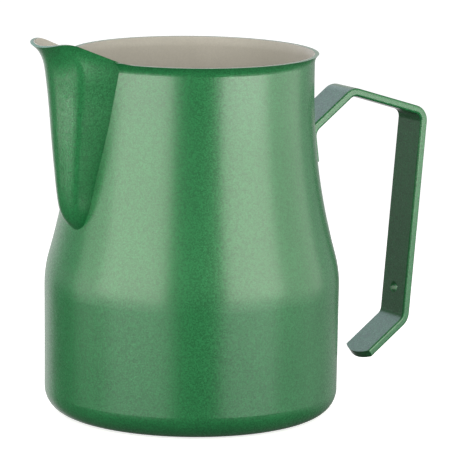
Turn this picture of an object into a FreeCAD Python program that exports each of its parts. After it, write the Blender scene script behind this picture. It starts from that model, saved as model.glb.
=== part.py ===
"""Milk frothing pitcher of half a litre, with a pressed-in spout and a bent strip handle.

Frame: millimetres, +Z up. The origin is the centre of the flat base, on the cup's axis.
The spout points to -X and the handle stands on the +X side.

The cup is built from four nested solids of one form, each a little deeper below the finished
outside than the last: the outside of the green coat, the outside of the steel, the outside of
the grey lining and the inside of that lining. The wall's layers are what lies between them.
The handle is built the same way from two nested strips.
"""
import FreeCAD, Part
import math
import os
import Sketcher
from FreeCAD import Placement, Rotation, Vector

doc = FreeCAD.newDocument("frothing_pitcher")

# ---------------------------------------------------------------- driving dimensions

SIZES = [
    # the drawn cup, measured on the finished outside
    ("body_radius", 45.0, "largest radius, at the shoulder"),
    ("wall_draft", 0.2, "how much smaller the wall is above the base corner"),
    ("base_corner_radius", 7.2, "rounding between base and wall"),
    ("shoulder_height", 39.0, "where the wall starts to round into the shoulder"),
    ("shoulder_radius", 36.0, "convex arc of the shoulder"),
    ("neck_radius", 36.45, "cup radius at the straight neck"),
    ("neck_curve_radius", 185.0, "concave arc from the shoulder up to the neck"),
    ("flare_height", 107.5, "where the rim starts to roll out"),
    ("flare_radius", 3.6, "arc of the rolled-out rim"),
    ("lip_height", 110.24, "overall height of the rim"),
    # the layers of the wall, from the outside in
    ("coat_thickness", 0.15, "green coat"),
    ("sheet_thickness", 0.8, "drawn stainless steel"),
    ("lining_thickness", 0.15, "grey non-stick lining"),
    # the lip line of the spout, seen from the side
    ("lip_rise_start", 32.0, "distance from the axis where the lip starts to rise"),
    ("lip_rise_radius", 6.5, "concave arc at the start of the rise"),
    ("crest_reach", 49.5, "distance of the highest point of the lip from the axis"),
    ("crest_height", 116.2, "highest point of the lip"),
    ("crest_radius", 9.0, "convex arc over the highest point"),
    ("spout_front_angle", 42.0, "the spout's broad front runs this far round to each side"),
    # the handle strip
    ("strip_width", 13.0, "width of the coated strip"),
    ("strip_thickness", 2.5, "thickness of the coated strip"),
    ("strip_edge_radius", 0.7, "rounding along the strip's four edges"),
    ("bend_radius", 4.0, "radius of the strip's middle line at each bend"),
    ("end_radius", 11.5, "rounding of the strip's free end, seen on its face"),
    ("hole_diameter", 3.6, "finished hang hole"),
    ("hole_from_corner", 9.2, "hang hole above the lower bend, along the grip"),
    # the spot welds
    ("weld_diameter", 3.6, "spot weld"),
    ("weld_low", 76.4, "height of the lower spot weld"),
    ("weld_high", 80.2, "height of the upper spot weld"),
]

# Horizontal sections of the spout, from its root inside the wall up to its tip: height, reach
# of the front from the cup's axis, radius of the broad front, radius of the two corners beside
# it, and angle of each flank from the spout's middle plane. slope is how far the front leans out
# there, as a share of 45 degrees: the layers below the skin are raised in proportion to it, so
# that the wall keeps its thickness. The front broadens as it rises.
SPOUT_SECTIONS = [
    # name, height, reach, front radius, corner radius, flank angle, slope
    ("root", 57.8, 38.85, 2.4, 2.2, 3.0, 1.0),
    ("toe", 59.6, 41.6, 3.6, 2.9, 3.0, 1.0),
    ("heel", 61.8, 43.9, 4.7, 3.4, 3.0, 0.9),
    ("knee", 64.6, 45.4, 5.6, 3.7, 2.5, 0.5),
    ("trough_1", 68.5, 46.3, 6.1, 3.9, 2.0, 0.1),
    ("trough_2", 76.0, 47.1, 7.5, 4.1, 2.0, 0.1),
    ("trough_3", 84.0, 47.8, 8.8, 4.6, 6.5, 0.1),
    ("trough_4", 92.0, 48.4, 10.1, 5.3, 11.0, 0.1),
    ("trough_5", 100.0, 49.05, 11.2, 6.1, 14.5, 0.1),
    ("throat", 106.0, 49.75, 12.1, 6.8, 16.5, 0.2),
    ("lip_1", 110.0, 50.6, 12.0, 7.2, 19.0, 0.5),
    ("lip_2", 112.5, 51.95, 11.2, 7.6, 22.5, 0.8),
    ("lip_3", 115.0, 54.65, 10.1, 8.2, 26.0, 1.0),
    ("tip", 118.0, 58.4, 11.0, 9.0, 26.0, 1.0),
]

# Corners of the handle strip's middle line, before they are rounded: reach from the cup's axis
# and height. The tab stands just off the wall, on its welds, and leans in as the wall does.
HANDLE_CORNERS = [
    ("tab_end", 40.6, 74.3),
    ("tab_bend", 39.2, 84.25),
    ("arm_bend", 54.1, 95.5),
    ("grip_bend", 81.1, 87.25),
    ("leg_bend", 75.45, 21.5),
    ("leg_end", 60.7, 10.7),
]

sheet = doc.addObject("Spreadsheet::Sheet", "sizes")
value = {}


def add_size(name, number, note=""):
    """Put one driving dimension on the next row of the sheet."""
    row = len(value) + 1
    sheet.set(f"A{row}", name)
    sheet.set(f"B{row}", str(number))
    sheet.set(f"C{row}", note)
    sheet.setAlias(f"B{row}", name)
    value[name] = number


for size_name, number, note in SIZES:
    add_size(size_name, number, note)
for section, height, reach, front, corner, flank, slope in SPOUT_SECTIONS:
    add_size(f"spout_{section}_height", height, "height of a spout section")
    add_size(f"spout_{section}_reach", reach, "reach of its front from the axis")
    add_size(f"spout_{section}_front", front, "radius of its front")
    add_size(f"spout_{section}_corner", corner, "radius of its corners")
    add_size(f"spout_{section}_flank", flank, "angle of its flanks, degrees")
for corner, reach, height in HANDLE_CORNERS:
    add_size(f"{corner}_reach", reach, "corner of the handle's middle line")
    add_size(f"{corner}_height", height, "height of that corner")
doc.recompute()

COAT = "sizes.coat_thickness"
STEEL = f"({COAT} + sizes.sheet_thickness)"
LINING = f"({STEEL} + sizes.lining_thickness)"
DEPTHS = {
    "0": 0.0,
    COAT: value["coat_thickness"],
    STEEL: value["coat_thickness"] + value["sheet_thickness"],
    LINING: value["coat_thickness"] + value["sheet_thickness"] + value["lining_thickness"],
}
SECTION_BACK = 25.0      # the spout sections end here, inside the cup
LAYER_RAISE = 0.4        # rise of a layer's section, per depth, where the nose leans out 45 degrees
HEADROOM = 0.4           # how far the cup's solids stand above the lip before it is cut
CUTTER_TOP = 140.0
CUTTER_SIDE = 90.0
CREST_END_ANGLE = 130.0  # the lip's crest arc runs this far round, past the tip of the spout
END_MARGIN = 1.0         # how far the cutter of the strip's end stands clear of the strip
THROUGH = 4.0            # a cut through the strip is this many thicknesses long
ROD_LENGTH = 4.0         # a weld rod runs from inside the wall to inside the strip
ROD_START = 0.3          # and starts this much nearer the axis than the neck's outside

# ---------------------------------------------------------------- sketch helpers


def origin_plane(body, role):
    """The named origin plane of a body."""
    return [item for item in body.Origin.OriginFeatures if item.Role == role][0]


def new_sketch(body, name, role, offset=None):
    """A sketch on one of the body's own origin planes."""
    sketch = body.newObject("Sketcher::SketchObject", name)
    sketch.AttachmentSupport = [(origin_plane(body, role), "")]
    sketch.MapMode = "FlatFace"
    if offset is not None:
        sketch.AttachmentOffset = offset
    return sketch


def point(across, up):
    """A point of a sketch."""
    return Vector(across, up, 0)


def line(sketch, start, end):
    """Add a straight edge and give its number."""
    return sketch.addGeometry(Part.LineSegment(start, end), False)


def arc(sketch, centre, radius, start_angle, end_angle):
    """Add an arc, counter-clockwise from start to end in degrees, and give its number."""
    circle = Part.Circle(centre, Vector(0, 0, 1), radius)
    edge = Part.ArcOfCircle(circle, math.radians(start_angle), math.radians(end_angle))
    return sketch.addGeometry(edge, False)


def drive(sketch, kind, *places, number, formula):
    """Add a measured constraint and bind it to the sheet."""
    index = sketch.addConstraint(Sketcher.Constraint(kind, *places, number))
    sketch.setExpression(f"Constraints[{index}]", formula)


def locate(sketch, geometry, end, across, up):
    """Fix a point of the sketch by its two distances from the origin, each (number, formula)."""
    drive(sketch, "DistanceX", -1, 1, geometry, end, number=across[0], formula=across[1])
    drive(sketch, "DistanceY", -1, 1, geometry, end, number=up[0], formula=up[1])


def tie(sketch, kind, *places):
    """Add a constraint without a size."""
    sketch.addConstraint(Sketcher.Constraint(kind, *places))


START, END, CENTRE = 1, 2, 3
ORIGIN, ACROSS_AXIS, UP_AXIS = -1, -1, -2

# ---------------------------------------------------------------- the cup's form


def side_tangent(low_centre, low_radius, high_centre, high_radius):
    """Angle, in degrees, at which one line touches two arcs on their right-hand side."""
    span = high_centre - low_centre
    lean = math.asin((low_radius - high_radius) / span.Length)
    return math.degrees(math.atan2(span.y, span.x) + lean) - 90.0


def on_arc(centre, radius, degrees):
    """The point of an arc at an angle."""
    angle = math.radians(degrees)
    return centre + Vector(radius * math.cos(angle), radius * math.sin(angle), 0)


def cup_profile(body, depth):
    """Half of the cup's outline, its arcs all the same depth below the finished outside."""
    inset = DEPTHS[depth]
    low_radius = value["body_radius"] - value["wall_draft"]
    corner = value["base_corner_radius"] - inset
    shoulder = value["shoulder_radius"] - inset
    neck = value["neck_curve_radius"] + inset
    flare = value["flare_radius"] + inset
    corner_centre = point(low_radius - value["base_corner_radius"], value["base_corner_radius"])
    shoulder_centre = point(value["body_radius"] - value["shoulder_radius"],
                            value["shoulder_height"])
    neck_centre_x = value["neck_radius"] + value["neck_curve_radius"]
    rise = math.sqrt((shoulder + neck) ** 2 - (neck_centre_x - shoulder_centre.x) ** 2)
    neck_centre = point(neck_centre_x, shoulder_centre.y + rise)
    flare_centre = point(value["neck_radius"] + value["flare_radius"], value["flare_height"])
    top = value["lip_height"] + HEADROOM
    wall_angle = side_tangent(corner_centre, corner, shoulder_centre, shoulder)
    join_angle = math.degrees(math.atan2(rise, neck_centre.x - shoulder_centre.x))
    flare_end = 180.0 - math.degrees(math.asin((top - flare_centre.y) / flare))
    neck_x = value["neck_radius"] - inset

    sketch = new_sketch(body, "profile", "XZ_Plane")
    base = line(sketch, point(0, inset), point(corner_centre.x, inset))
    corner_arc = arc(sketch, corner_centre, corner, -90, wall_angle)
    wall = line(sketch, on_arc(corner_centre, corner, wall_angle),
                on_arc(shoulder_centre, shoulder, wall_angle))
    shoulder_arc = arc(sketch, shoulder_centre, shoulder, wall_angle, join_angle)
    neck_arc = arc(sketch, neck_centre, neck, 180, 180 + join_angle)
    collar = line(sketch, point(neck_x, neck_centre.y), point(neck_x, flare_centre.y))
    flare_arc = arc(sketch, flare_centre, flare, flare_end, 180)
    cover = line(sketch, on_arc(flare_centre, flare, flare_end), point(0, top))
    axis = line(sketch, point(0, top), point(0, inset))

    tie(sketch, "Tangent", base, END, corner_arc, START)
    tie(sketch, "Tangent", corner_arc, END, wall, START)
    tie(sketch, "Tangent", wall, END, shoulder_arc, START)
    tie(sketch, "Tangent", shoulder_arc, END, neck_arc, END)
    tie(sketch, "Tangent", neck_arc, START, collar, START)
    tie(sketch, "Tangent", collar, END, flare_arc, END)
    tie(sketch, "Coincident", flare_arc, START, cover, START)
    tie(sketch, "Coincident", cover, END, axis, START)
    tie(sketch, "Coincident", axis, END, base, START)
    tie(sketch, "Horizontal", base)
    tie(sketch, "Vertical", collar)
    tie(sketch, "Horizontal", cover)
    tie(sketch, "PointOnObject", axis, START, UP_AXIS)
    tie(sketch, "PointOnObject", axis, END, UP_AXIS)
    locate(sketch, corner_arc, CENTRE,
           (corner_centre.x, "sizes.body_radius - sizes.wall_draft - sizes.base_corner_radius"),
           (corner_centre.y, "sizes.base_corner_radius"))
    locate(sketch, shoulder_arc, CENTRE,
           (shoulder_centre.x, "sizes.body_radius - sizes.shoulder_radius"),
           (shoulder_centre.y, "sizes.shoulder_height"))
    locate(sketch, flare_arc, CENTRE,
           (flare_centre.x, "sizes.neck_radius + sizes.flare_radius"),
           (flare_centre.y, "sizes.flare_height"))
    drive(sketch, "Radius", corner_arc, number=corner,
          formula=f"sizes.base_corner_radius - {depth}")
    drive(sketch, "Radius", shoulder_arc, number=shoulder,
          formula=f"sizes.shoulder_radius - {depth}")
    drive(sketch, "Radius", neck_arc, number=neck,
          formula=f"sizes.neck_curve_radius + {depth}")
    drive(sketch, "Radius", flare_arc, number=flare,
          formula=f"sizes.flare_radius + {depth}")
    drive(sketch, "DistanceY", ORIGIN, 1, cover, END, number=top,
          formula=f"sizes.lip_height + {HEADROOM}")
    return sketch


def spout_section(body, name, slope, depth):
    """One level section of the spout: a broad front, two corners, two flanks and a back."""
    inset = DEPTHS[depth]
    height = f"sizes.spout_{name}_height + {LAYER_RAISE * slope} * {depth}"
    front_radius = value[f"spout_{name}_front"]
    corner_radius = value[f"spout_{name}_corner"]
    flank = value[f"spout_{name}_flank"]
    turn = value["spout_front_angle"]
    front_centre = point(front_radius - value[f"spout_{name}_reach"], 0)
    corner_centre = on_arc(front_centre, front_radius - corner_radius, 180 - turn)
    low_centre = point(corner_centre.x, -corner_centre.y)
    front_radius -= inset
    corner_radius -= inset
    upper_touch = on_arc(corner_centre, corner_radius, 90 + flank)
    back_x = -SECTION_BACK
    back_y = upper_touch.y + (back_x - upper_touch.x) * math.tan(math.radians(flank))
    start = point(back_x, back_y)
    finish = point(back_x, -back_y)
    lower_touch = point(upper_touch.x, -upper_touch.y)

    sketch = new_sketch(body, f"spout_{name}", "XY_Plane",
                        Placement(Vector(0, 0, value[f"spout_{name}_height"]), Rotation()))
    sketch.setExpression("AttachmentOffset.Base.z", height)
    upper = line(sketch, start, upper_touch)
    upper_corner = arc(sketch, corner_centre, corner_radius, 90 + flank, 180 - turn)
    front = arc(sketch, front_centre, front_radius, 180 - turn, 180 + turn)
    lower_corner = arc(sketch, low_centre, corner_radius, 180 + turn, 270 - flank)
    lower = line(sketch, lower_touch, finish)
    back = line(sketch, finish, start)
    ring = [upper, upper_corner, front, lower_corner, lower]
    for edge, following in zip(ring, ring[1:]):
        tie(sketch, "Tangent", edge, END, following, START)
    tie(sketch, "Coincident", lower, END, back, START)
    tie(sketch, "Coincident", back, END, upper, START)
    tie(sketch, "Symmetric", back, START, back, END, ACROSS_AXIS)
    tie(sketch, "PointOnObject", front, CENTRE, ACROSS_AXIS)
    tie(sketch, "Equal", upper_corner, lower_corner)
    drive(sketch, "DistanceX", front, CENTRE, ORIGIN, 1, number=-front_centre.x,
          formula=f"sizes.spout_{name}_reach - sizes.spout_{name}_front")
    drive(sketch, "DistanceX", back, START, ORIGIN, 1, number=SECTION_BACK,
          formula=f"{SECTION_BACK}")
    drive(sketch, "Radius", front, number=front_radius,
          formula=f"sizes.spout_{name}_front - {depth}")
    drive(sketch, "Radius", upper_corner, number=corner_radius,
          formula=f"sizes.spout_{name}_corner - {depth}")
    aside = (f"(sizes.spout_{name}_front - sizes.spout_{name}_corner)"
             " * sin(sizes.spout_front_angle * 1deg)")
    drive(sketch, "DistanceY", ORIGIN, 1, upper_corner, CENTRE, number=corner_centre.y,
          formula=aside)
    drive(sketch, "DistanceY", lower_corner, CENTRE, ORIGIN, 1, number=corner_centre.y,
          formula=aside)
    drive(sketch, "Angle", upper, START, ACROSS_AXIS, START, number=math.radians(180 - flank),
          formula=f"180 - sizes.spout_{name}_flank")
    return sketch


def lip_cutter(body, depth):
    """Everything above the lip line: level over the cup, rising in a wave over the spout."""
    inset = DEPTHS[depth]
    start = point(-value["lip_rise_start"], value["lip_height"] - inset)
    low_centre = start + Vector(0, value["lip_rise_radius"], 0)
    crest = point(-value["crest_reach"], value["crest_height"] - inset)
    high_centre = crest - Vector(0, value["crest_radius"], 0)
    span = high_centre - low_centre
    radii = value["lip_rise_radius"] + value["crest_radius"]
    lean = math.degrees(math.atan2(-span.x, -span.y) - math.acos(radii / span.Length))
    low_touch = on_arc(low_centre, value["lip_rise_radius"], 270 - lean)
    high_touch = on_arc(high_centre, value["crest_radius"], 90 - lean)
    tip = on_arc(high_centre, value["crest_radius"], CREST_END_ANGLE)
    sketch = new_sketch(body, "lip_line", "XZ_Plane")
    level = line(sketch, point(CUTTER_SIDE, start.y), start)
    rise_arc = arc(sketch, low_centre, value["lip_rise_radius"], 270 - lean, 270)
    slope = line(sketch, low_touch, high_touch)
    crest_arc = arc(sketch, high_centre, value["crest_radius"], 90 - lean,
                    CREST_END_ANGLE)
    outer = line(sketch, tip, point(-CUTTER_SIDE, tip.y))
    left = line(sketch, point(-CUTTER_SIDE, tip.y), point(-CUTTER_SIDE, CUTTER_TOP))
    cover = line(sketch, point(-CUTTER_SIDE, CUTTER_TOP), point(CUTTER_SIDE, CUTTER_TOP))
    right = line(sketch, point(CUTTER_SIDE, CUTTER_TOP), point(CUTTER_SIDE, start.y))
    tie(sketch, "Tangent", level, END, rise_arc, END)
    tie(sketch, "Tangent", rise_arc, START, slope, START)
    tie(sketch, "Tangent", slope, END, crest_arc, START)
    tie(sketch, "Coincident", crest_arc, END, outer, START)
    tie(sketch, "Coincident", outer, END, left, START)
    tie(sketch, "Coincident", left, END, cover, START)
    tie(sketch, "Coincident", cover, END, right, START)
    tie(sketch, "Coincident", right, END, level, START)
    for flat in (level, outer, cover):
        tie(sketch, "Horizontal", flat)
    for upright in (left, right):
        tie(sketch, "Vertical", upright)
    locate(sketch, level, END, (start.x, "-sizes.lip_rise_start"),
           (start.y, f"sizes.lip_height - {depth}"))
    locate(sketch, crest_arc, CENTRE, (crest.x, "-sizes.crest_reach"),
           (high_centre.y, f"sizes.crest_height - sizes.crest_radius - {depth}"))
    drive(sketch, "Radius", rise_arc, number=value["lip_rise_radius"],
          formula="sizes.lip_rise_radius")
    drive(sketch, "Radius", crest_arc, number=value["crest_radius"],
          formula="sizes.crest_radius")
    drive(sketch, "DistanceX", crest_arc, END, crest_arc, CENTRE, number=crest.x - tip.x,
          formula=f"sizes.crest_radius * {math.cos(math.radians(180 - CREST_END_ANGLE)):.4f}")
    drive(sketch, "DistanceX", cover, START, cover, END, number=2 * CUTTER_SIDE,
          formula=f"{2 * CUTTER_SIDE}")
    drive(sketch, "DistanceX", cover, START, ORIGIN, 1, number=CUTTER_SIDE,
          formula=f"{CUTTER_SIDE}")
    drive(sketch, "DistanceY", ORIGIN, 1, cover, START, number=CUTTER_TOP,
          formula=f"{CUTTER_TOP}")
    pocket = body.newObject("PartDesign::Pocket", "lip_cut")
    pocket.Profile = sketch
    pocket.Length = 2 * CUTTER_SIDE
    pocket.Midplane = True
    return pocket


def cup_form(name, depth, cut_lip):
    """The solid inside one layer of the cup: the turned cup and its spout."""
    body = doc.addObject("PartDesign::Body", name)
    body.Label = name
    profile = cup_profile(body, depth)
    turned = body.newObject("PartDesign::Revolution", "turned_cup")
    turned.Profile = profile
    turned.ReferenceAxis = (profile, ["V_Axis"])
    turned.Angle = 360.0
    sections = [spout_section(body, row[0], row[6], depth) for row in SPOUT_SECTIONS]
    spout = body.newObject("PartDesign::AdditiveLoft", "spout")
    spout.Profile = sections[0]
    spout.Sections = sections[1:]
    spout.Ruled = False
    if cut_lip:
        lip_cutter(body, depth)
    doc.recompute()
    return body


# ---------------------------------------------------------------- the handle's form


def strip_path(body, inset):
    """The strip's middle line: straight runs through the corners, with a round bend at each."""
    sketch = new_sketch(body, "path", "XZ_Plane")
    names = [row[0] for row in HANDLE_CORNERS]
    corners = [point(value[f"{name}_reach"], value[f"{name}_height"]) for name in names]
    marks = []
    for name, corner in zip(names, corners):
        mark = sketch.addGeometry(Part.Point(corner), True)
        locate(sketch, mark, START, (corner.x, f"sizes.{name}_reach"),
               (corner.y, f"sizes.{name}_height"))
        marks.append(mark)
    radius = value["bend_radius"]
    starts = [corners[0]]
    ends = []
    bends = []
    for before, corner, after in zip(corners, corners[1:], corners[2:]):
        come = (corner - before).normalize()
        go = (after - corner).normalize()
        turn = come.getAngle(go)
        setback = radius * math.tan(turn / 2)
        side = 1 if come.cross(go).z > 0 else -1
        centre = corner - come * setback + Vector(-come.y, come.x, 0) * radius * side
        ends.append(corner - come * setback)
        starts.append(corner + go * setback)
        bends.append((centre, side))
    ends.append(corners[-1])
    first = (corners[1] - corners[0]).normalize()
    last = (corners[-1] - corners[-2]).normalize()
    starts[0] = corners[0] + first * inset
    ends[-1] = corners[-1] - last * inset
    runs = [line(sketch, begin, finish) for begin, finish in zip(starts, ends)]
    arcs = []
    for number, (centre, side) in enumerate(bends):
        come = ends[number] - centre
        go = starts[number + 1] - centre
        first_angle = math.degrees(math.atan2(come.y, come.x))
        last_angle = math.degrees(math.atan2(go.y, go.x))
        if side < 0:
            first_angle, last_angle = last_angle, first_angle
        if last_angle < first_angle:
            last_angle += 360
        arcs.append(arc(sketch, centre, radius, first_angle, last_angle))
    for number, run in enumerate(runs):
        if inset or number > 0:
            tie(sketch, "PointOnObject", marks[number], START, run)
        if inset or number < len(runs) - 1:
            tie(sketch, "PointOnObject", marks[number + 1], START, run)
    for number, bend in enumerate(arcs):
        near, far = (START, END) if bends[number][1] > 0 else (END, START)
        tie(sketch, "Tangent", runs[number], END, bend, near)
        tie(sketch, "Tangent", bend, far, runs[number + 1], START)
        if number:
            tie(sketch, "Equal", arcs[0], bend)
    drive(sketch, "Radius", arcs[0], number=radius, formula="sizes.bend_radius")
    if inset:
        drive(sketch, "Distance", marks[0], START, runs[0], START, number=inset, formula=COAT)
        drive(sketch, "Distance", marks[-1], START, runs[-1], END, number=inset, formula=COAT)
    else:
        tie(sketch, "Coincident", marks[0], START, runs[0], START)
        tie(sketch, "Coincident", marks[-1], START, runs[-1], END)
    return sketch, starts[0], first


def strip_section(body, inset, start, direction):
    """The strip's cross-section, square to the tab: a flat bar with rounded edges."""
    lean = math.degrees(math.atan2(direction.x, direction.y))
    place = Placement(Vector(start.x, 0, start.y), Rotation(Vector(0, 1, 0), lean))
    sketch = new_sketch(body, "bar_section", "XY_Plane", place)
    half_thick = value["strip_thickness"] / 2 - inset
    half_wide = value["strip_width"] / 2 - inset
    radius = value["strip_edge_radius"] - inset
    flat = half_thick - radius
    wide = half_wide - radius
    right = line(sketch, point(half_thick, -wide), point(half_thick, wide))
    top_right = arc(sketch, point(flat, wide), radius, 0, 90)
    top = line(sketch, point(flat, half_wide), point(-flat, half_wide))
    top_left = arc(sketch, point(-flat, wide), radius, 90, 180)
    left = line(sketch, point(-half_thick, wide), point(-half_thick, -wide))
    low_left = arc(sketch, point(-flat, -wide), radius, 180, 270)
    low = line(sketch, point(-flat, -half_wide), point(flat, -half_wide))
    low_right = arc(sketch, point(flat, -wide), radius, 270, 360)
    ring = [right, top_right, top, top_left, left, low_left, low, low_right]
    for edge, following in zip(ring, ring[1:] + ring[:1]):
        tie(sketch, "Tangent", edge, END, following, START)
    for rounding in (top_left, low_left, low_right):
        tie(sketch, "Equal", top_right, rounding)
    for upright in (right, left):
        tie(sketch, "Vertical", upright)
    for flat_edge in (top, low):
        tie(sketch, "Horizontal", flat_edge)
    tie(sketch, "Symmetric", top_right, CENTRE, low_left, CENTRE, ORIGIN, 1)
    depth = f" - {COAT}" if inset else ""
    drive(sketch, "Radius", top_right, number=radius, formula=f"sizes.strip_edge_radius{depth}")
    drive(sketch, "DistanceX", left, START, right, START, number=2 * half_thick,
          formula=f"sizes.strip_thickness{2 * depth}")
    drive(sketch, "DistanceY", low, START, top, START, number=2 * half_wide,
          formula=f"sizes.strip_width{2 * depth}")
    return sketch


def round_end(body, inset):
    """Round the free end of the strip, square to its faces."""
    leg_bend = point(value["leg_bend_reach"], value["leg_bend_height"])
    leg_end = point(value["leg_end_reach"], value["leg_end_height"])
    along = (leg_end - leg_bend).normalize()
    centre = leg_end - along * value["end_radius"]
    tilt = math.degrees(math.atan2(-along.y, along.x))
    place = Placement(Vector(centre.x, 0, centre.y), Rotation(Vector(0, 1, 0), tilt))
    sketch = new_sketch(body, "end_rounding", "XY_Plane", place)
    radius = value["end_radius"] - inset
    beyond = value["end_radius"] + END_MARGIN
    half_wide = (value["strip_width"] + END_MARGIN) / 2
    spread = math.degrees(math.asin(half_wide / radius))
    curve = arc(sketch, point(0, 0), radius, -spread, spread)
    upper = line(sketch, on_arc(point(0, 0), radius, spread), point(beyond, half_wide))
    outer = line(sketch, point(beyond, half_wide), point(beyond, -half_wide))
    lower = line(sketch, point(beyond, -half_wide), on_arc(point(0, 0), radius, -spread))
    tie(sketch, "Coincident", curve, CENTRE, ORIGIN, 1)
    tie(sketch, "Coincident", curve, END, upper, START)
    tie(sketch, "Coincident", upper, END, outer, START)
    tie(sketch, "Coincident", outer, END, lower, START)
    tie(sketch, "Coincident", lower, END, curve, START)
    for level in (upper, lower):
        tie(sketch, "Horizontal", level)
    tie(sketch, "Symmetric", outer, START, outer, END, ACROSS_AXIS)
    drive(sketch, "Radius", curve, number=radius,
          formula=f"sizes.end_radius - {COAT if inset else 0}")
    drive(sketch, "DistanceX", curve, CENTRE, outer, START, number=beyond,
          formula=f"sizes.end_radius + {END_MARGIN}")
    drive(sketch, "DistanceY", outer, END, outer, START, number=2 * half_wide,
          formula=f"sizes.strip_width + {END_MARGIN}")
    pocket = body.newObject("PartDesign::Pocket", "round_end")
    pocket.Profile = sketch
    pocket.Length = THROUGH * value["strip_thickness"]
    pocket.Midplane = True
    return pocket


def hole_axis():
    """Centre of the hang hole on the strip's middle line, and the lean of the grip."""
    low = point(value["leg_bend_reach"], value["leg_bend_height"])
    high = point(value["grip_bend_reach"], value["grip_bend_height"])
    up = (high - low).normalize()
    centre = low + up * value["hole_from_corner"]
    return centre, up


def hang_hole(body, inset):
    """Drill the hang hole square through the grip."""
    centre, up = hole_axis()
    tilt = math.degrees(math.atan2(up.x, up.y))
    place = Placement(Vector(centre.x, 0, centre.y), Rotation(Vector(0, 1, 0), 90 + tilt))
    sketch = new_sketch(body, "hole", "XY_Plane", place)
    radius = value["hole_diameter"] / 2 + inset
    ring = sketch.addGeometry(Part.Circle(point(0, 0), Vector(0, 0, 1), radius), False)
    tie(sketch, "Coincident", ring, CENTRE, ORIGIN, 1)
    drive(sketch, "Radius", ring, number=radius,
          formula=f"sizes.hole_diameter / 2 + {COAT if inset else 0}")
    pocket = body.newObject("PartDesign::Pocket", "hang_hole")
    pocket.Profile = sketch
    pocket.Length = THROUGH * value["strip_thickness"]
    pocket.Midplane = True
    return pocket


def strip_form(name, inset):
    """The bent strip, all its faces the same inset below the finished outside."""
    body = doc.addObject("PartDesign::Body", name)
    body.Label = name
    path, start, direction = strip_path(body, inset)
    section = strip_section(body, inset, start, direction)
    bar = body.newObject("PartDesign::AdditivePipe", "bent_bar")
    bar.Profile = section
    bar.Spine = (path, [""])
    doc.recompute()
    round_end(body, inset)
    hang_hole(body, inset)
    doc.recompute()
    return body


# ---------------------------------------------------------------- the pieces


def cut(label, base, tool):
    """One solid less another, as an object of the document."""
    result = doc.addObject("Part::Cut", label)
    result.Label = label
    result.Base = base
    result.Tool = tool
    doc.recompute()
    return result


def weld_blanks():
    """Two short rods across the tab and the wall, before they are cut to the steel faces."""
    rods = []
    for height_name in ("weld_low", "weld_high"):
        rod = doc.addObject("Part::Cylinder", f"{height_name}_rod")
        rod.setExpression("Radius", "sizes.weld_diameter / 2")
        rod.Height = ROD_LENGTH
        rod.Placement = Placement(Vector(value["neck_radius"] - ROD_START, 0, value[height_name]),
                                  Rotation(Vector(0, 1, 0), 90))
        rod.setExpression("Placement.Base.z", f"sizes.{height_name}")
        rods.append(rod)
    pair = doc.addObject("Part::MultiFuse", "weld_rods")
    pair.Shapes = rods
    doc.recompute()
    return pair


skin_form = cup_form("skin_form", "0", True)
steel_form = cup_form("steel_form", COAT, True)
lining_form = cup_form("lining_form", STEEL, False)
cavity_form = cup_form("cavity_form", LINING, False)
strip_skin_form = strip_form("strip_skin_form", 0.0)
strip_steel_form = strip_form("strip_steel_form", value["coat_thickness"])

rods = weld_blanks()
weld_outside = cut("weld_outside_wall", rods, steel_form)
weld_nuggets = cut("weld_nuggets", weld_outside, strip_steel_form)

body_shell = cut("body_shell", steel_form, lining_form)
skin_over_steel = cut("skin_over_steel", skin_form, steel_form)
skin_open = cut("skin_open", skin_over_steel, lining_form)
outer_coating = cut("outer_coating", skin_open, rods)

lining_below_lip = doc.addObject("Part::Common", "lining_below_lip")
lining_below_lip.Base = lining_form
lining_below_lip.Tool = skin_form
inner_coating = cut("inner_coating", lining_below_lip, cavity_form)

handle_strip = doc.addObject("Part::Compound", "handle_strip")
handle_strip.Links = [strip_steel_form]
strip_skin_open = cut("strip_skin_open", strip_skin_form, strip_steel_form)
handle_coating = cut("handle_coating", strip_skin_open, rods)
doc.recompute()

PIECES = [body_shell, outer_coating, inner_coating, handle_strip, handle_coating, weld_nuggets]

# ---------------------------------------------------------------- checks and files

for item in doc.Objects:
    if "Invalid" in item.State or "Error" in item.State:
        raise RuntimeError(f"{item.Label} failed: {item.State}")
for piece in PIECES:
    shape = piece.Shape
    if shape.isNull() or not shape.isValid() or not shape.Solids:
        raise RuntimeError(f"{piece.Label} has no valid solid")
    box = shape.BoundBox
    print(piece.Label, "solids", len(shape.Solids), "volume", round(shape.Volume, 1),
          "box", [round(number, 2) for number in
                  (box.XMin, box.XMax, box.YMin, box.YMax, box.ZMin, box.ZMax)])

os.makedirs("parts", exist_ok=True)
for piece in PIECES:
    piece.Shape.exportStep(f"parts/{piece.Label}.step")
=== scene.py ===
"""Looks for the milk frothing pitcher: materials, floor, studio light and camera.

Everything is in metres in the CAD frame: +Z up, the handle at +X, the spout at -X, and the base
standing on Z = 0. The CAD nodes have the right shapes, so they stay and get their materials here.
"""
import math

import bpy
from mathutils import Matrix, Vector


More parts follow.
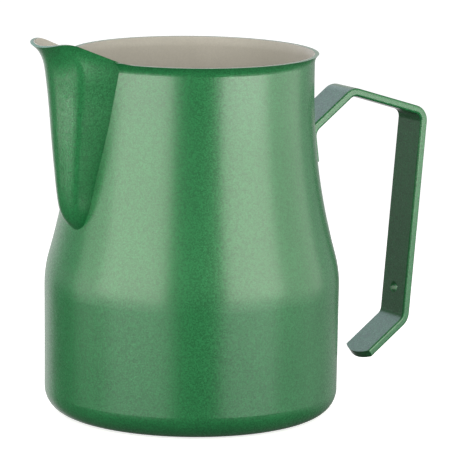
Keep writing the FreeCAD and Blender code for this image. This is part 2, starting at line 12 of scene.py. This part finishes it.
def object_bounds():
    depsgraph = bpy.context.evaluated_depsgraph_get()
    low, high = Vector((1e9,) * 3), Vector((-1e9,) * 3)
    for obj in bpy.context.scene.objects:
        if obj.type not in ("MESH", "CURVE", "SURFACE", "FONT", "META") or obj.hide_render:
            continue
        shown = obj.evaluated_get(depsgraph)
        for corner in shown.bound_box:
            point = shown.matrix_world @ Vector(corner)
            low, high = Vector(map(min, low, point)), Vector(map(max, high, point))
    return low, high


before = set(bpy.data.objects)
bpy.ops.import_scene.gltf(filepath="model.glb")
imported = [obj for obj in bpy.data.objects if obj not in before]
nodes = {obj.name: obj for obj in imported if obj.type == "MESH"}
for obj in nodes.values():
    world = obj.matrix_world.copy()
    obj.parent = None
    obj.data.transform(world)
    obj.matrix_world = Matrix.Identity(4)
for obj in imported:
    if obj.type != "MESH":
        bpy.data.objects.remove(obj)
cad_low, cad_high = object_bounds()

MM = 0.001

# ---------------------------------------------------------------- node helpers


def new_material(name):
    """A node material with an empty tree and its output."""
    material = bpy.data.materials.new(name)
    material.use_nodes = True
    tree = material.node_tree
    tree.nodes.clear()
    output = tree.nodes.new("ShaderNodeOutputMaterial")
    shader = tree.nodes.new("ShaderNodeBsdfPrincipled")
    tree.links.new(shader.outputs["BSDF"], output.inputs["Surface"])
    return material, tree, shader


def add(tree, kind, **settings):
    """Add a node: its properties by name, its input values in 'inputs'."""
    node = tree.nodes.new(kind)
    inputs = settings.pop("inputs", {})
    for key, setting in settings.items():
        setattr(node, key, setting)
    for key, number in inputs.items():
        node.inputs[key].default_value = number
    return node


def link(tree, source, target):
    """Join an output socket to an input socket."""
    tree.links.new(source, target)


def object_place(tree):
    """The surface point in metres in the CAD frame."""
    return add(tree, "ShaderNodeTexCoord").outputs["Object"]


def noise(tree, place, scale, detail=2.0, roughness=0.5):
    """Smooth noise, from 0 to 1."""
    node = add(tree, "ShaderNodeTexNoise", inputs={
        "Scale": scale, "Detail": detail, "Roughness": roughness})
    link(tree, place, node.inputs["Vector"])
    return node.outputs["Fac"]


def cells(tree, place, size):
    """Random colour per small cell of about that size."""
    node = add(tree, "ShaderNodeTexVoronoi", feature="F1", inputs={"Scale": 1.0 / size})
    link(tree, place, node.inputs["Vector"])
    return node.outputs["Color"]


def spread(tree, source, from_low, from_high, to_low, to_high):
    """Map a value from one span to another, clamped."""
    node = add(tree, "ShaderNodeMapRange", clamp=True, inputs={
        "From Min": from_low, "From Max": from_high, "To Min": to_low, "To Max": to_high})
    link(tree, source, node.inputs["Value"])
    return node.outputs["Result"]


def blend_colour(tree, factor, first, second, mode="MIX"):
    """Mix two colours; each may be a colour or a socket."""
    node = add(tree, "ShaderNodeMix", data_type="RGBA", blend_type=mode)
    colour_inputs = [socket for socket in node.inputs if socket.type == "RGBA"]
    for socket, given in zip(colour_inputs, (first, second)):
        if isinstance(given, tuple):
            socket.default_value = given + (1.0,)
        else:
            link(tree, given, socket)
    if isinstance(factor, float):
        node.inputs["Factor"].default_value = factor
    else:
        link(tree, factor, node.inputs["Factor"])
    return [socket for socket in node.outputs if socket.type == "RGBA"][0]


def bump(tree, height, distance):
    """A bump normal from a height socket; distance is the relief in metres."""
    node = add(tree, "ShaderNodeBump", inputs={"Strength": 1.0, "Distance": distance})
    link(tree, height, node.inputs["Height"])
    return node.outputs["Normal"]


def channel(tree, colour, index):
    """One channel of a colour socket."""
    node = add(tree, "ShaderNodeSeparateColor")
    link(tree, colour, node.inputs["Color"])
    return node.outputs[index]


def tilted(tree, random_colour, amount):
    """The surface normal, tilted a little at random in each cell."""
    centred = add(tree, "ShaderNodeVectorMath", operation="SUBTRACT")
    link(tree, random_colour, centred.inputs[0])
    centred.inputs[1].default_value = (0.5, 0.5, 0.5)
    scaled = add(tree, "ShaderNodeVectorMath", operation="SCALE", inputs={"Scale": amount})
    link(tree, centred.outputs[0], scaled.inputs[0])
    summed = add(tree, "ShaderNodeVectorMath", operation="ADD")
    link(tree, add(tree, "ShaderNodeNewGeometry").outputs["Normal"], summed.inputs[0])
    link(tree, scaled.outputs[0], summed.inputs[1])
    unit = add(tree, "ShaderNodeVectorMath", operation="NORMALIZE")
    link(tree, summed.outputs[0], unit.inputs[0])
    return unit.outputs[0]


# ---------------------------------------------------------------- materials

FLAKE_SIZE = 0.34 * MM      # one flake of the green coat
FLAKE_TILT = 0.22           # how far the flakes lean at random
SPECK_SIZE = 0.4 * MM       # one speck of the lining
COAT_RELIEF = 0.02 * MM     # the clear coat's orange peel
LINING_RELIEF = 0.03 * MM
STEEL_RELIEF = 0.01 * MM
DRAWN_STRETCH = 0.04        # the steel's grain is this much coarser along the cup's axis


def green_coat():
    """Metallic green stove enamel: fine flake under a satin clear coat."""
    material, tree, shader = new_material("green_coat")
    place = object_place(tree)
    flake = cells(tree, place, FLAKE_SIZE)
    flake_value = channel(tree, flake, 0)
    cloud = spread(tree, noise(tree, place, 45.0, 3.0, 0.55), 0.35, 0.65, 0.0, 1.0)
    deep = blend_colour(tree, cloud, (0.007, 0.119, 0.034), (0.009, 0.135, 0.038))
    bright = blend_colour(tree, cloud, (0.015, 0.207, 0.060), (0.019, 0.225, 0.068))
    colour = blend_colour(tree, flake_value, deep, bright)
    link(tree, colour, shader.inputs["Base Color"])
    link(tree, spread(tree, flake_value, 0.0, 1.0, 0.52, 0.38), shader.inputs["Roughness"])
    link(tree, tilted(tree, flake, FLAKE_TILT), shader.inputs["Normal"])
    shader.inputs["Metallic"].default_value = 0.15
    shader.inputs["Coat Weight"].default_value = 1.0
    shader.inputs["Coat Roughness"].default_value = 0.26
    shader.inputs["Coat IOR"].default_value = 1.7
    shader.inputs["Specular IOR Level"].default_value = 0.1
    peel = noise(tree, place, 420.0, 2.0, 0.5)
    link(tree, bump(tree, peel, COAT_RELIEF), shader.inputs["Coat Normal"])
    return material


def grey_lining():
    """Matt warm grey non-stick lining with a fine speckle."""
    material, tree, shader = new_material("grey_lining")
    place = object_place(tree)
    speck = channel(tree, cells(tree, place, SPECK_SIZE), 0)
    cloud = noise(tree, place, 60.0, 3.0, 0.6)
    base = blend_colour(tree, spread(tree, cloud, 0.3, 0.7, 0.0, 1.0),
                        (0.53, 0.51, 0.455), (0.58, 0.555, 0.50))
    colour = blend_colour(tree, spread(tree, speck, 0.0, 1.0, 0.0, 0.16), base,
                          (0.33, 0.32, 0.28))
    link(tree, colour, shader.inputs["Base Color"])
    link(tree, spread(tree, cloud, 0.3, 0.7, 0.44, 0.54), shader.inputs["Roughness"])
    grain = noise(tree, place, 2400.0, 2.0, 0.6)
    link(tree, bump(tree, grain, LINING_RELIEF), shader.inputs["Normal"])
    return material


def steel():
    """Stainless sheet with a fine drawn grain."""
    material, tree, shader = new_material("steel")
    place = object_place(tree)
    stretch = add(tree, "ShaderNodeMapping")
    stretch.inputs["Scale"].default_value = (1.0, 1.0, DRAWN_STRETCH)
    link(tree, place, stretch.inputs["Vector"])
    drawn = noise(tree, stretch.outputs["Vector"], 5200.0, 2.0, 0.5)
    colour = blend_colour(tree, drawn, (0.50, 0.50, 0.49), (0.66, 0.66, 0.65))
    link(tree, colour, shader.inputs["Base Color"])
    link(tree, spread(tree, drawn, 0.2, 0.8, 0.30, 0.42), shader.inputs["Roughness"])
    link(tree, bump(tree, drawn, STEEL_RELIEF), shader.inputs["Normal"])
    shader.inputs["Metallic"].default_value = 1.0
    return material


def pale_floor():
    """Plain pale table top."""
    material, tree, shader = new_material("pale_floor")
    place = object_place(tree)
    cloud = noise(tree, place, 6.0, 2.0, 0.5)
    colour = blend_colour(tree, cloud, (0.86, 0.86, 0.86), (0.88, 0.88, 0.88))
    link(tree, colour, shader.inputs["Base Color"])
    shader.inputs["Roughness"].default_value = 0.7
    shader.inputs["Emission Color"].default_value = (1.0, 1.0, 1.0, 1.0)
    shader.inputs["Emission Strength"].default_value = 0.7
    return material


GREEN = green_coat()
LINING = grey_lining()
STEEL = steel()
FINISH = {
    "outer_coating": GREEN,
    "handle_coating": GREEN,
    "inner_coating": LINING,
    "body_shell": STEEL,
    "handle_strip": STEEL,
    "weld_nuggets": STEEL,
}
for name, node in nodes.items():
    for slot in node.material_slots:
        slot.material = FINISH[name]

# ---------------------------------------------------------------- floor


FLOOR_RADIUS = 0.32
FLOOR_SIDES = 96
FLOOR_GAP = 0.05 * MM       # the floor lies this far below the base


def make_floor():
    """A round pale table top just below the base."""
    angles = [2 * math.pi * side / FLOOR_SIDES for side in range(FLOOR_SIDES)]
    ring = [Vector((FLOOR_RADIUS * math.cos(angle), FLOOR_RADIUS * math.sin(angle), 0.0))
            for angle in angles]
    mesh = bpy.data.meshes.new("floor")
    mesh.from_pydata(ring, [], [tuple(range(FLOOR_SIDES))])
    mesh.materials.append(pale_floor())
    floor = bpy.data.objects.new("floor", mesh)
    bpy.context.scene.collection.objects.link(floor)
    floor.location.z = cad_low.z - FLOOR_GAP
    floor.visible_diffuse = False
    floor.visible_glossy = False
    floor.visible_shadow = False


make_floor()

# ---------------------------------------------------------------- camera

VIEW_AZIMUTH = 32.0         # the camera stands this far round from -Y towards the spout, degrees
VIEW_ELEVATION = 10.335     # degrees
VIEW_ROLL = 0.758           # degrees
VIEW_DISTANCE = 1.1
VIEW_TARGET = Vector((8.670, -5.418, 56.263)) * MM
VIEW_LENS = 285.08          # millimetres, on a sensor that is SENSOR_WIDTH wide
SENSOR_WIDTH = 36.0
CLIP_START = 0.05
CLIP_END = 20.0


def make_camera():
    """The camera at the fitted viewpoint."""
    azimuth = math.radians(VIEW_AZIMUTH)
    elevation = math.radians(VIEW_ELEVATION)
    roll = math.radians(VIEW_ROLL)
    back = Vector((-math.sin(azimuth) * math.cos(elevation),
                   -math.cos(azimuth) * math.cos(elevation),
                   math.sin(elevation)))
    right = Vector((math.cos(azimuth), -math.sin(azimuth), 0.0))
    up = back.cross(right)
    rolled_right = right * math.cos(roll) + up * math.sin(roll)
    rolled_up = up * math.cos(roll) - right * math.sin(roll)
    data = bpy.data.cameras.new("camera")
    data.lens = VIEW_LENS
    data.sensor_width = SENSOR_WIDTH
    data.clip_start = CLIP_START
    data.clip_end = CLIP_END
    camera = bpy.data.objects.new("camera", data)
    turn = Matrix((rolled_right, rolled_up, back)).transposed().to_4x4()
    camera.matrix_world = Matrix.Translation(VIEW_TARGET + back * VIEW_DISTANCE) @ turn
    bpy.context.scene.collection.objects.link(camera)
    bpy.context.scene.camera = camera


make_camera()

# ---------------------------------------------------------------- light


def place_round(azimuth, distance, height):
    """A point round the pitcher; azimuth 0 is the camera's side and + is to the camera's right."""
    turn = math.radians(VIEW_AZIMUTH - azimuth)
    return Vector((-math.sin(turn) * distance, -math.cos(turn) * distance, height))


LIGHT_COLOUR = (1.0, 0.97, 0.88)

# The softboxes: name, azimuth, distance from the cup's axis, height of the middle, width, height
# of the box itself, radiance, and the height on the axis at which it is aimed.
SOFTBOXES = [
    ("left_box", -45.0, 0.38, 0.1975, 0.385, 0.375, 2.97, 0.1975),
    ("left_fill", -83.0, 0.38, 0.14, 0.17, 0.29, 1.3, 0.14),
    ("right_box", 48.5, 0.38, 0.2015, 0.325, 0.367, 3.30, 0.2015),
    ("right_fill", 94.0, 0.40, 0.14, 0.33, 0.29, 1.2, 0.14),
    ("top_box", 180.0, 0.25, 0.9, 0.7, 0.7, 0.8, 0.1),
]


def softbox(name, azimuth, distance, height, width, tall, radiance, aim_height):
    """A soft rectangle of light that faces the pitcher and is not itself in the picture."""
    place = place_round(azimuth, distance, height)
    data = bpy.data.lights.new(name, "AREA")
    data.shape = "RECTANGLE"
    data.size = width
    data.size_y = tall
    data.energy = radiance * math.pi * width * tall
    data.color = LIGHT_COLOUR
    lamp = bpy.data.objects.new(name, data)
    lamp.location = place
    aim = Vector((0.0, 0.0, aim_height)) - place
    lamp.rotation_mode = "QUATERNION"
    lamp.rotation_quaternion = aim.to_track_quat("-Z", "Y")
    lamp.visible_camera = False
    bpy.context.scene.collection.objects.link(lamp)


for row in SOFTBOXES:
    softbox(*row)

FRONT_LEVEL = 0.22            # dim surroundings above the horizon
GROUND_LEVEL = 0.11           # and below it
HORIZON_LOW = -0.15           # the change from one to the other, as heights of the direction
HORIZON_HIGH = -0.06

BACK_LEVEL = 0.75             # the white backdrop
BACK_GOAL = place_round(-165.0, 1.0, 0.0)
BACK_START = 0.82             # cosines of the angle to the goal at which it starts and is full
BACK_FULL = 0.93

HIGH_LEVEL = 1.2              # a cool bright patch, high up behind and to the left
HIGH_COLOUR = (0.88, 0.90, 1.10)
HIGH_GOAL = place_round(-147.0, 1.0, 0.66)
HIGH_START = 0.86
HIGH_FULL = 0.95

CAMERA_LEVEL = 1.1            # what the camera itself sees behind the pitcher: plain white

# Soft patches of the surroundings: the azimuth of the middle, how far it is full and how far it
# reaches to each side in degrees, its level, and the heights of the direction at which it starts,
# is full, is still full, and has ended.
PATCHES = [
    # the table in front of each softbox, which the box lights
    (-42.0, 23.0, 32.0, 1.75, -0.38, -0.20, -0.15, -0.08),
    (-81.0, 12.0, 23.0, 1.0, -0.27, -0.19, -0.15, -0.08),
    (49.0, 21.0, 29.0, 2.8, -0.29, -0.19, -0.15, -0.08),
    (97.0, 22.0, 32.0, 0.8, -0.40, -0.20, -0.15, -0.06),
    # low down on the left, and all the way up on the right
    (-120.0, 40.0, 60.0, 0.5, -0.15, -0.06, 0.0, 0.14),
    (138.0, 20.0, 32.0, 0.44, -0.50, -0.20, 0.5, 0.7),
]


def mix_level(tree, factor, first, second):
    """Mix two levels by a factor socket; each may be a number or a socket."""
    node = add(tree, "ShaderNodeMix", data_type="FLOAT")
    link(tree, factor, node.inputs["Factor"])
    for key, given in (("A", first), ("B", second)):
        if isinstance(given, float):
            node.inputs[key].default_value = given
        else:
            link(tree, given, node.inputs[key])
    return node.outputs["Result"]


def toward(tree, direction, goal, start, full):
    """Share, 0 to 1, of a direction near a goal: none at one cosine, all at another."""
    dot = add(tree, "ShaderNodeVectorMath", operation="DOT_PRODUCT")
    link(tree, direction, dot.inputs[0])
    dot.inputs[1].default_value = goal.normalized()
    return spread(tree, dot.outputs["Value"], start, full, 0.0, 1.0)


def make_world():
    """Dim surroundings, a lit table below the softboxes, and a white backdrop behind."""
    world = bpy.data.worlds.new("studio")
    bpy.context.scene.world = world
    world.use_nodes = True
    tree = world.node_tree
    backdrop = tree.nodes["Background"]
    direction = add(tree, "ShaderNodeTexCoord").outputs["Generated"]
    parts = add(tree, "ShaderNodeSeparateXYZ")
    link(tree, direction, parts.inputs[0])
    up = parts.outputs["Z"]
    flatten = add(tree, "ShaderNodeVectorMath", operation="MULTIPLY")
    link(tree, direction, flatten.inputs[0])
    flatten.inputs[1].default_value = (1.0, 1.0, 0.0)
    level_direction = add(tree, "ShaderNodeVectorMath", operation="NORMALIZE")
    link(tree, flatten.outputs[0], level_direction.inputs[0])
    compass = level_direction.outputs[0]

    horizon = spread(tree, up, HORIZON_LOW, HORIZON_HIGH, 0.0, 1.0)
    level = mix_level(tree, horizon, GROUND_LEVEL, FRONT_LEVEL)
    for azimuth, full, reach, patch_level, start, low, high, end in PATCHES:
        share = toward(tree, compass, place_round(azimuth, 1.0, 0.0),
                       math.cos(math.radians(reach)), math.cos(math.radians(full)))
        for band in (spread(tree, up, start, low, 0.0, 1.0), spread(tree, up, high, end, 1.0, 0.0)):
            product = add(tree, "ShaderNodeMath", operation="MULTIPLY")
            link(tree, share, product.inputs[0])
            link(tree, band, product.inputs[1])
            share = product.outputs[0]
        level = mix_level(tree, share, level, patch_level)
    back_share = toward(tree, direction, BACK_GOAL, BACK_START, BACK_FULL)
    level = mix_level(tree, back_share, level, BACK_LEVEL)
    high_share = toward(tree, direction, HIGH_GOAL, HIGH_START, HIGH_FULL)
    level = mix_level(tree, high_share, level, HIGH_LEVEL)

    seen = add(tree, "ShaderNodeMath", operation="MULTIPLY")
    link(tree, add(tree, "ShaderNodeLightPath").outputs["Is Camera Ray"], seen.inputs[0])
    seen.inputs[1].default_value = CAMERA_LEVEL
    strongest = add(tree, "ShaderNodeMath", operation="MAXIMUM")
    link(tree, level, strongest.inputs[0])
    link(tree, seen.outputs[0], strongest.inputs[1])
    link(tree, strongest.outputs[0], backdrop.inputs["Strength"])
    tint = blend_colour(tree, high_share, (1.0, 1.0, 1.0), HIGH_COLOUR)
    link(tree, tint, backdrop.inputs["Color"])


make_world()

view_settings = bpy.context.scene.view_settings
view_settings.view_transform = "Standard"
